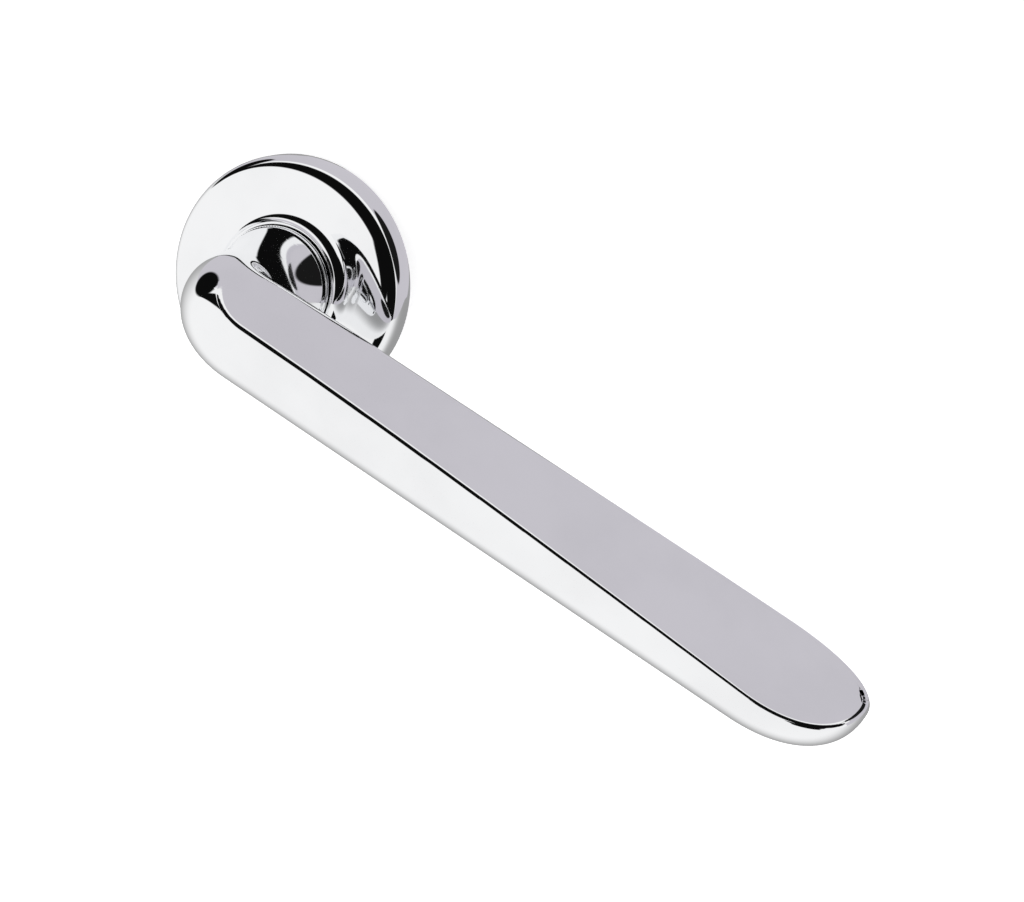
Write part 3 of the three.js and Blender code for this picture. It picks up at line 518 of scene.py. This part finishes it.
@dataclass
class Lever:
    """Neck, bend, grip and nose, with the journal that turns in the rose."""

    length: float = 140 * MM
    grip_height: float = 37 * MM
    neck_radius: float = 11.7 * MM
    waist_radius: float = 8.5 * MM
    bend_radius: float = 10.8 * MM
    half_width: float = 10.4 * MM
    half_depth: float = 9.25 * MM
    deck_tilt: float = math.radians(55.6)
    deck_height: float = 5.92 * MM
    deck_slope: float = 0.0365
    deck_bow: float = 2230 * MM
    deck_facets: int = 16
    deck_edge: float = 1.2 * MM
    flat_near: float = MM / 100
    flat_alike: float = math.radians(0.4)
    smooth_angle: float = math.radians(32)
    face_weight: int = 80
    grub_sides: int = 64
    nose_length: float = 20 * MM
    nose_lift: float = 4.2 * MM
    nose_fullness: float = 2.25
    neck_top: float = 10.8 * MM
    neck_foot: float = 5.0 * MM
    socket_half: float = 4.1 * MM
    socket_top: float = 22.1 * MM
    grub_height: float = 15.5 * MM
    grub_bore: float = 3.1 * MM
    key_radius: float = 9.598 * MM
    key_flat: float = 8.158 * MM
    key_foot: float = 3.3 * MM
    rear_flat: float = 6.799 * MM
    rear_flat_top: float = -5.95 * MM
    journal: list[Point] = field(default_factory=lambda: [
        (7.598 * MM, -12.45 * MM), (7.998 * MM, -12.05 * MM), (7.998 * MM, -11.5 * MM),
        (7.398 * MM, -11.5 * MM), (7.398 * MM, -10.4 * MM), (7.998 * MM, -10.4 * MM),
        (7.998 * MM, 3.3 * MM), (9.598 * MM, 3.3 * MM), (9.598 * MM, 5.0 * MM),
    ])
    sides: int = 128
    neck_steps: int = 14
    bend_steps: int = 36
    grip_steps: int = 16
    nose_steps: int = 32

    def axes(self, turn: float) -> Matrix:
        """Widthways, depthways and lengthways axes of a section, as columns."""
        side = Vector((-math.cos(turn), -math.sin(turn), 0))
        up = Vector((0, 0, 1))
        depthways = side * math.cos(self.deck_tilt) + up * math.sin(self.deck_tilt)
        widthways = -side * math.sin(self.deck_tilt) + up * math.cos(self.deck_tilt)
        return Matrix((widthways, depthways, widthways.cross(depthways))).transposed()

    def rings(self) -> list[Ring]:
        """Sections from the journal's end to just before the tip."""
        made = [Ring(Vector((0, -h, 0)), 0.0, r, r) for r, h in self.journal]
        made.append(Ring(
            Vector((0, -self.neck_foot, 0)), 0.0, self.neck_radius, self.neck_radius,
        ))
        bend_start = self.grip_height - self.bend_radius
        for i in range(self.neck_steps):
            share = i / self.neck_steps
            height = self.neck_top + (bend_start - self.neck_top) * share
            flare = (self.neck_radius - self.waist_radius) * (1 - share) ** 2
            radius = self.waist_radius + flare
            made.append(Ring(Vector((0, -height, 0)), 0.0, radius, radius))
        for i in range(self.bend_steps + 1):
            share = i / self.bend_steps
            blend = share * share * (3 - 2 * share)
            turn = share * math.pi / 2
            made.append(Ring(
                Vector((
                    self.bend_radius * (1 - math.cos(turn)),
                    -bend_start - self.bend_radius * math.sin(turn), 0,
                )),
                turn,
                self.waist_radius + (self.half_width - self.waist_radius) * blend,
                self.waist_radius + (self.half_depth - self.waist_radius) * blend,
            ))
        nose_start = self.length - self.nose_length
        for i in range(1, self.grip_steps + 1):
            x = self.bend_radius + (nose_start - self.bend_radius) * i / self.grip_steps
            centre = Vector((x, -self.grip_height, 0))
            made.append(Ring(centre, math.pi / 2, self.half_width, self.half_depth))
        widthways = self.axes(math.pi / 2).col[0]
        for i in range(1, self.nose_steps):
            angle = i / self.nose_steps * math.pi / 2
            size = math.cos(angle) ** (2 / self.nose_fullness)
            reach = math.sin(angle) ** (2 / self.nose_fullness)
            centre = Vector((nose_start + self.nose_length * reach, -self.grip_height, 0))
            centre += widthways * self.nose_lift * (1 - size)
            made.append(Ring(
                centre, math.pi / 2, self.half_width * size, self.half_depth * size,
            ))
        return made

    def bar(self) -> bpy.types.Object:
        """Draws the bar out of one disc, section by section, to its tip."""
        rings = self.rings()
        Bench.clear()
        bpy.ops.mesh.primitive_circle_add(
            vertices=self.sides, radius=rings[0].half_width, fill_type="NGON",
            location=rings[0].centre, rotation=(math.pi / 2, 0, 0),
        )
        piece = Bench.named("chrome_lever")
        Bench.edit(piece)
        for last, ring in zip(rings, rings[1:]):
            bpy.ops.mesh.extrude_region_move(
                TRANSFORM_OT_translate={"value": ring.centre - last.centre},
            )
            if ring.turn != last.turn:
                # with no window, the rotate operator turns the other way
                bpy.ops.transform.rotate(
                    value=last.turn - ring.turn, orient_axis="Z", orient_type="GLOBAL",
                    center_override=ring.centre,
                )
            scale = (ring.half_width / last.half_width, ring.half_depth / last.half_depth, 1)
            bpy.ops.transform.resize(
                value=scale, orient_type="LOCAL", orient_matrix=self.axes(ring.turn),
                orient_matrix_type="LOCAL", center_override=ring.centre,
            )
        tip = Vector((self.length, -self.grip_height, 0))
        tip += self.axes(math.pi / 2).col[0] * self.nose_lift
        bpy.ops.mesh.extrude_region_move(
            TRANSFORM_OT_translate={"value": tip - rings[-1].centre},
        )
        bpy.ops.mesh.merge(type="CENTER")
        return Bench.close(piece)

    def deck_planes(self) -> list[tuple[Vector, Vector]]:
        """Lists the flats of the slightly arched deck.

        Returns:
            A point and the outward normal of each flat, from the heel to the tip.
        """
        across, depthways = self.axes(math.pi / 2).col[0], self.axes(math.pi / 2).col[1]
        planes = []
        for flat in range(self.deck_facets):
            reach = self.length + self.bend_radius
            x = reach * (flat + 0.5) / self.deck_facets - self.bend_radius
            past = x - reach / 2
            height = self.deck_height - self.deck_slope * past - past ** 2 / (2 * self.deck_bow)
            fall = self.deck_slope + past / self.deck_bow
            along = (Vector((1, 0, 0)) - depthways * fall).normalized()
            normal = along.cross(across)
            if normal.dot(depthways) < 0:
                normal.negate()
            planes.append((Vector((x, -self.grip_height, 0)) + depthways * height, normal))
        return planes

    def arch(self) -> bpy.types.Object:
        """Makes the block that planes the whole arched deck in one cut.

        Returns:
            The block; its foot is made of the deck's flats.
        """
        across, depthways = self.axes(math.pi / 2).col[0], self.axes(math.pi / 2).col[1]
        planes = self.deck_planes()
        half = (planes[1][0].x - planes[0][0].x) / 2
        ridge = []
        for place, normal in planes:
            along = across.cross(normal)
            along = along / along.x
            if not ridge:
                ridge.append(place - along * (half + self.bend_radius))
            ridge.append(place + along * half)
        ridge[-1] += along * self.bend_radius
        Bench.clear()
        bpy.ops.mesh.primitive_plane_add(size=MM)
        block = Bench.named("cutter")
        Bench.edit(block)
        bpy.ops.mesh.merge(type="CENTER")
        wide = across * self.grip_height
        bpy.ops.transform.translate(value=ridge[0] - wide)
        for start, end in zip(ridge, ridge[1:]):
            bpy.ops.mesh.extrude_region_move(TRANSFORM_OT_translate={"value": end - start})
        bpy.ops.mesh.select_all(action="SELECT")
        bpy.ops.mesh.extrude_region_move(TRANSFORM_OT_translate={"value": wide * 2})
        bpy.ops.mesh.select_all(action="SELECT")
        bpy.ops.mesh.extrude_region_move(
            TRANSFORM_OT_translate={"value": depthways * self.grip_height},
        )
        return Bench.close(block)

    def on_deck(self, middle: Vector, facing: Vector) -> bool:
        """Tells whether a face with this middle and normal is one of the deck's flats."""
        alike = math.cos(self.flat_alike)
        return any(
            abs((middle - place).dot(normal)) < self.flat_near and facing.dot(normal) > alike
            for place, normal in self.deck_planes()
        )

    def deck(self, piece: bpy.types.Object) -> None:
        """Planes the long deck and draws the border of its rounded edge."""
        Bench.cut(piece, self.arch())
        Bench.edit(piece)
        bpy.ops.mesh.select_mode(type="FACE")
        bpy.ops.mesh.select_all(action="DESELECT")
        mesh = bmesh.from_edit_mesh(piece.data)
        for face in mesh.faces:
            face.select = self.on_deck(face.calc_center_median(), face.normal)
        bmesh.update_edit_mesh(piece.data)
        bpy.ops.mesh.inset(thickness=self.deck_edge, use_even_offset=True)
        bpy.ops.mesh.select_mode(type="VERT")
        Bench.close(piece)

    def round_edge(self, piece: bpy.types.Object) -> None:
        """Turns the shading over the deck's border to meet the side's."""
        mesh = piece.data
        flats = [self.on_deck(face.center, face.normal) for face in mesh.polygons]
        sides: dict[int, Vector] = {}
        for face, flat in zip(mesh.polygons, flats):
            for corner in face.vertices:
                if not flat:
                    sides[corner] = sides.get(corner, Vector()) + face.normal * face.area
        normals = [Vector(corner.vector) for corner in mesh.corner_normals]
        for face, flat in zip(mesh.polygons, flats):
            for loop in face.loop_indices:
                corner = mesh.loops[loop].vertex_index
                if flat and corner in sides:
                    normals[loop] = sides[corner].normalized()
        mesh.normals_split_custom_set(normals)

    def cut_out(self, piece: bpy.types.Object) -> None:
        """Cuts the keys' flats, the square socket and the grub screw's hole."""
        waste = self.key_radius
        foot = self.journal[0][1] - MM
        for side in (-1, 1):
            tall = self.rear_flat_top - foot
            Bench.cut(piece, Bench.block(
                Vector((4 * waste, tall, waste)),
                Vector((0, -(foot + tall / 2), side * (self.rear_flat + waste / 2))),
            ))
            tall = self.neck_foot - self.key_foot
            Bench.cut(piece, Bench.block(
                Vector((4 * waste, tall + MM / 50, waste)),
                Vector((0, -(self.key_foot + tall / 2) + MM / 100,
                        side * (self.key_flat + waste / 2))),
            ))
        deep = self.socket_top - foot
        Bench.cut(piece, Bench.block(
            Vector((2 * self.socket_half, deep, 2 * self.socket_half)),
            Vector((0, -(foot + deep / 2), 0)),
        ))
        Bench.clear()
        reach = 2 * self.neck_radius
        bpy.ops.mesh.primitive_cylinder_add(
            vertices=self.grub_sides, radius=self.grub_bore, depth=reach,
            location=(0, -self.grub_height, -self.socket_half / 2 - reach / 2),
        )
        Bench.cut(piece, Bench.named("cutter"))

    def build(self) -> None:
        """Builds the lever and hangs it on its body."""
        piece = self.bar()
        self.deck(piece)
        self.cut_out(piece)
        Bench.smooth(piece, self.smooth_angle)
        Bench.apply(
            piece, "WEIGHTED_NORMAL", mode="FACE_AREA", weight=self.face_weight,
            keep_sharp=True,
        )
        self.round_edge(piece)
        fit_out(piece, Body.LEVER, CHROME, "lever")


# ----------------------------------------------------------------------- rose cover
@dataclass
class RoseCover:
    """Domed chrome cover with a hollow collar, and its nylon ring."""

    radius: float = 25.0 * MM
    bore: float = 23.8 * MM
    rim_height: float = 1.7 * MM
    crown_height: float = 7.7 * MM
    crown_fullness: float = 3.4
    cover_edge: float = 0.08 * MM
    ring_edge: float = 0.1 * MM
    sharp_angle: float = math.radians(50)
    smooth_angle: float = math.radians(35)
    off_door: float = 0.2 * MM
    wall: float = 1.2 * MM
    neck_bore: float = 11.9 * MM
    collar_lip: float = 0.45 * MM
    collar_fillet: float = 3.1 * MM
    collar_height: float = 1.767 * MM
    ring_radius: float = 13.1 * MM
    ring_bore: float = 11.8 * MM
    ring_foot: float = 5.4 * MM
    ring_top: float = 7.3 * MM
    gap: float = 0.1 * MM
    dome_steps: int = 28
    fillet_steps: int = 14
    sides: int = 192

    def dome(self, rim: float, crown: float, crown_height: float) -> list[Point]:
        """Full-shouldered curve from the rim up to the crown.

        Args:
            rim: Radius at the rim.
            crown: Radius where the curve levels out.
            crown_height: Height there.

        Returns:
            Radius and height of each point.
        """
        points = []
        for i in range(self.dome_steps + 1):
            angle = i / self.dome_steps * math.pi / 2
            power = 2 / self.crown_fullness
            points.append((
                crown + (rim - crown) * abs(math.cos(angle)) ** power,
                self.rim_height + (crown_height - self.rim_height) * math.sin(angle) ** power,
            ))
        return points

    def outline(self) -> list[Point]:
        """Closed outline of the cover's wall."""
        end = math.asin(1 - self.collar_height / self.collar_fillet)
        centre = self.neck_bore + self.collar_lip + self.collar_fillet * math.cos(end)
        hollow = []
        for i in range(self.fillet_steps):
            angle = math.pi / 2 - (i + 1) / self.fillet_steps * (math.pi / 2 - end)
            hollow.append((
                centre - self.collar_fillet * math.cos(angle),
                self.crown_height + self.collar_fillet * (1 - math.sin(angle)),
            ))
        seat = self.ring_radius + self.gap
        inner = seat + self.wall
        under = self.dome(self.bore, inner, self.crown_height - self.wall)
        return [
            *self.dome(self.radius, centre, self.crown_height),
            *hollow,
            (self.neck_bore, hollow[-1][1]),
            (self.neck_bore, self.ring_top + self.gap),
            (seat, self.ring_top + self.gap),
            (seat, self.ring_foot),
            (inner, self.ring_foot),
            *under[::-1][1:],
            (self.bore, self.off_door),
            (self.radius, self.off_door),
        ]

    def build(self) -> None:
        """Builds the cover and its ring and hangs them on the cover's body."""
        cover = Bench.turned("chrome_rose_cover", self.outline(), self.sides)
        Bench.bevel(cover, self.cover_edge, self.sharp_angle)
        Bench.smooth(cover, self.smooth_angle)
        fit_out(cover, Body.COVER, CHROME, "rose_cover")
        ring = Bench.turned("nylon_neck_ring", [
            (self.ring_bore, self.ring_foot), (self.ring_radius, self.ring_foot),
            (self.ring_radius, self.ring_top), (self.ring_bore, self.ring_top),
        ], self.sides // 2)
        Bench.bevel(ring, self.ring_edge, self.sharp_angle)
        Bench.smooth(ring, self.smooth_angle)
        fit_out(ring, Body.COVER, NYLON, "neck_ring")


# -------------------------------------------------------------------------- fixings
@dataclass(frozen=True)
class Part:
    """A CAD piece that is finished with broken edges."""

    node: str
    name: str
    body: Body
    finish: Finish
    edge: float


@dataclass
class Fixings:
    """Everything behind the cover: plate, cup, spring, bearings and fastenings."""

    smooth_angle: float = math.radians(32)
    parts: list[Part] = field(default_factory=lambda: [
        Part("base_plate", "cast_base_plate", Body.ROSE, CASTING, 0.12 * MM),
        Part("upper_post", "upper_bolt_post", Body.ROSE, ZINC_PLATE, 0.1 * MM),
        Part("lower_post", "lower_bolt_post", Body.ROSE, ZINC_PLATE, 0.1 * MM),
        Part("front_bush", "nylon_front_bush", Body.ROSE, NYLON, 0.05 * MM),
        Part("rear_bush", "nylon_rear_bush", Body.ROSE, NYLON, 0.05 * MM),
        Part("rest_stop_pin", "steel_rest_pin", Body.ROSE, SPRING_STEEL, 0.05 * MM),
        Part("end_stop_pin", "steel_end_pin", Body.ROSE, SPRING_STEEL, 0.05 * MM),
        Part("spring_cup", "pressed_spring_cup", Body.ROSE, ZINC_PLATE, 0.1 * MM),
        Part("cup_screw_1", "cup_screw_a", Body.ROSE, BLACK_OXIDE, 0.04 * MM),
        Part("cup_screw_2", "cup_screw_b", Body.ROSE, BLACK_OXIDE, 0.04 * MM),
        Part("cup_screw_3", "cup_screw_c", Body.ROSE, BLACK_OXIDE, 0.04 * MM),
        Part("snap_ring", "wire_snap_ring", Body.ROSE, SPRING_STEEL, 0.0),
        Part("return_spring", "coiled_return_spring", Body.ROSE, SPRING_STEEL, 0.0),
        Part("wave_washer", "thin_wave_washer", Body.ROSE, SPRING_STEEL, 0.0),
        Part("stop_plate", "keyed_stop_plate", Body.LEVER, ZINC_PLATE, 0.08 * MM),
        Part("drive_cam", "cast_drive_cam", Body.LEVER, CASTING, 0.08 * MM),
        Part("retaining_ring", "open_retaining_ring", Body.LEVER, BLACK_OXIDE, 0.05 * MM),
        Part("square_spindle", "square_steel_spindle", Body.LEVER, ZINC_PLATE, 0.1 * MM),
        Part("grub_screw", "hexagon_grub_screw", Body.LEVER, BLACK_OXIDE, 0.04 * MM),
    ])

    def build(self, nodes: dict[str, bpy.types.Object]) -> None:
        """Finishes each piece and hangs it on its body.

        Args:
            nodes: The CAD nodes by name.
        """
        for part in self.parts:
            piece = Bench.copy_of(nodes[part.node], part.name)
            if part.edge:
                Bench.bevel(piece, part.edge, math.radians(40), segments=1)
            Bench.smooth(piece, self.smooth_angle)
            fit_out(piece, part.body, part.finish, part.node)


# --------------------------------------------------------------------------- studio
@dataclass(frozen=True)
class Card:
    """A dark card in the studio, seen from the handle in one direction."""

    towards: Colour
    reach: float
    soft: float = 3.0
    tone: float = 0.004


@dataclass
class Studio:
    """Camera, pale floor, pale backdrop and plain soft light."""

    target: Vector = field(default_factory=lambda: Vector((50, -20, 0)) * MM)
    distance: float = 400 * MM
    around: float = math.radians(13.12)
    above: float = math.radians(20.15)
    roll: float = math.radians(28.86)
    lens: float = 75.0
    sensor: float = 36.0
    shift_x: float = 0.048
    shift_y: float = -0.0197
    floor_drop: float = 300 * MM
    floor_size: float = 4.0
    floor_rough: float = 0.8
    floor_glow: float = 0.7
    board_rough: float = 0.9
    behind_full: float = 0.95
    overhead_from: float = 84.0
    overhead_to: float = 88.0
    board: float = 500 * MM
    board_glow: float = 0.72
    overhead: Colour = (0.585, 0.567, 0.61)
    white: float = 0.95
    behind: float = 0.34
    dark: float = 0.004
    band_foot: float = 13.5
    band_lean: float = -22.9
    band_top: float = 68.0
    band_soft: float = 4.0
    cards: list[Card] = field(default_factory=lambda: [
        Card((-0.957, 0.17, 0.23), 15.0),
        Card((0.30, -0.93, 0.15), 12.0),
        Card((0.72, -0.64, -0.20), 18.0),
        Card((0.62, 0.25, 0.74), 24.0, tone=0.01),
    ])

    def camera(self) -> None:
        """Sets up the camera."""
        right = Vector((math.cos(self.around), math.sin(self.around), 0))
        back = Vector((
            math.sin(self.around) * math.cos(self.above),
            -math.cos(self.around) * math.cos(self.above), math.sin(self.above),
        ))
        up = back.cross(right)
        turned_right = right * math.cos(self.roll) + up * math.sin(self.roll)
        turned_up = up * math.cos(self.roll) - right * math.sin(self.roll)
        lens = bpy.data.cameras.new("camera")
        lens.lens = self.lens
        lens.sensor_width = self.sensor
        lens.sensor_fit = "HORIZONTAL"
        lens.shift_x = self.shift_x
        lens.shift_y = self.shift_y
        lens.clip_start = 10 * MM
        camera = bpy.data.objects.new("camera", lens)
        bpy.context.scene.collection.objects.link(camera)
        place = Matrix((turned_right, turned_up, back)).transposed().to_4x4()
        place.translation = self.target + back * self.distance
        camera.matrix_world = place
        bpy.context.scene.camera = camera

    def light(self) -> None:
        """Builds the plain studio round the handle: pale walls and a few dark cards."""
        world = bpy.data.worlds.new("studio")
        world.use_nodes = True
        bpy.context.scene.world = world
        shader = Shader(world.node_tree)
        shader.tree.nodes.clear()
        way = shader.add("ShaderNodeTexCoord").outputs["Generated"]
        split = shader.add("ShaderNodeSeparateXYZ")
        shader.link(way, split.inputs[0])
        out = shader.math("MULTIPLY", split.outputs["Y"], -1.0)
        angle = shader.math("ARCTAN2", split.outputs["Z"], out)
        degrees = shader.math("MULTIPLY", angle, 180 / math.pi)
        below = shader.ramp(split.outputs["Y"], 0.0, self.behind_full)
        tone = shader.mix(below, (self.white,) * 3, (self.behind,) * 3)
        tone = shader.mix(
            shader.ramp(degrees, self.overhead_from, self.overhead_to), tone, self.overhead,
        )
        foot = shader.math("MULTIPLY_ADD", split.outputs["X"], self.band_lean, self.band_foot)
        over_foot = shader.math("SUBTRACT", degrees, foot)
        band = shader.math(
            "MULTIPLY", shader.ramp(over_foot, 0.0, self.band_soft),
            shader.ramp(degrees, self.band_top + self.band_soft, self.band_top),
        )
        tone = shader.mix(band, tone, (self.dark,) * 3)
        for card in self.cards:
            dot = shader.add("ShaderNodeVectorMath", operation="DOT_PRODUCT")
            shader.link(way, dot.inputs[0])
            dot.inputs[1].default_value = Vector(card.towards).normalized()
            edge = math.cos(math.radians(card.reach + card.soft))
            core = math.cos(math.radians(card.reach))
            mask = shader.ramp(dot.outputs["Value"], edge, core)
            tone = shader.mix(mask, tone, (card.tone,) * 3)
        seen = shader.add("ShaderNodeLightPath").outputs["Is Camera Ray"]
        tone = shader.mix(seen, tone, (1.0, 1.0, 1.0))
        glow = shader.add("ShaderNodeBackground")
        shader.link(tone, glow.inputs["Color"])
        end = shader.add("ShaderNodeOutputWorld")
        shader.link(glow.outputs[0], end.inputs["Surface"])
        bpy.context.scene.view_settings.view_transform = "Standard"

    @staticmethod
    def pale(name: str, roughness: float, glow: float) -> bpy.types.Material:
        """Makes a plain pale material for the studio.

        Args:
            name: Name of the material.
            roughness: Its roughness.
            glow: How much light it gives off.

        Returns:
            The material.
        """
        material = bpy.data.materials.new(name)
        material.use_nodes = True
        surface = material.node_tree.nodes["Principled BSDF"]
        surface.inputs["Base Color"].default_value = PALE
        surface.inputs["Roughness"].default_value = roughness
        surface.inputs["Emission Color"].default_value = WHITE
        surface.inputs["Emission Strength"].default_value = glow
        return material

    def floor(self) -> None:
        """Lays the pale floor well below the handle."""
        Bench.clear()
        bpy.ops.mesh.primitive_plane_add(
            size=self.floor_size, location=(0, 0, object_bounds()[0][2] - self.floor_drop),
        )
        floor = Bench.named("studio_floor")
        floor.data.materials.append(
            self.pale("pale_floor", self.floor_rough, self.floor_glow),
        )
        floor.visible_glossy = False
        floor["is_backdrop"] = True

    def backdrop(self) -> None:
        """Stands a pale board behind the door face; it is clear from the back."""
        Bench.clear()
        bpy.ops.mesh.primitive_plane_add(
            size=self.board, location=self.target * Vector((1, 0, 1)) + Vector((0, MM / 10, 0)),
            rotation=(math.pi / 2, 0, 0),
        )
        board = Bench.named("studio_board")
        material = self.pale("pale_board", self.board_rough, self.board_glow)
        shader = Shader(material.node_tree)
        surface = shader.tree.nodes["Principled BSDF"]
        clear = shader.add("ShaderNodeBsdfTransparent")
        pick = shader.add("ShaderNodeMixShader")
        shader.link(shader.add("ShaderNodeNewGeometry").outputs["Backfacing"], pick.inputs[0])
        shader.link(surface.outputs[0], pick.inputs[1])
        shader.link(clear.outputs[0], pick.inputs[2])
        shader.link(pick.outputs[0], shader.tree.nodes["Material Output"].inputs["Surface"])
        board.data.materials.append(material)
        board.visible_glossy = False
        board.visible_diffuse = False
        board.visible_shadow = False
        board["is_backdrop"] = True

    def build(self) -> None:
        """Sets up the camera, the light, the floor and the board."""
        self.camera()
        self.light()
        self.floor()
        self.backdrop()


def main() -> None:
    """Builds the handle around the CAD frame, piece by piece."""
    logging.basicConfig(level=logging.INFO, format="%(name)s: %(message)s")
    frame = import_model()
    Lever().build()
    RoseCover().build()
    Fixings().build(frame["nodes"])
    Studio().build()


if __name__ == "__main__":
    main()
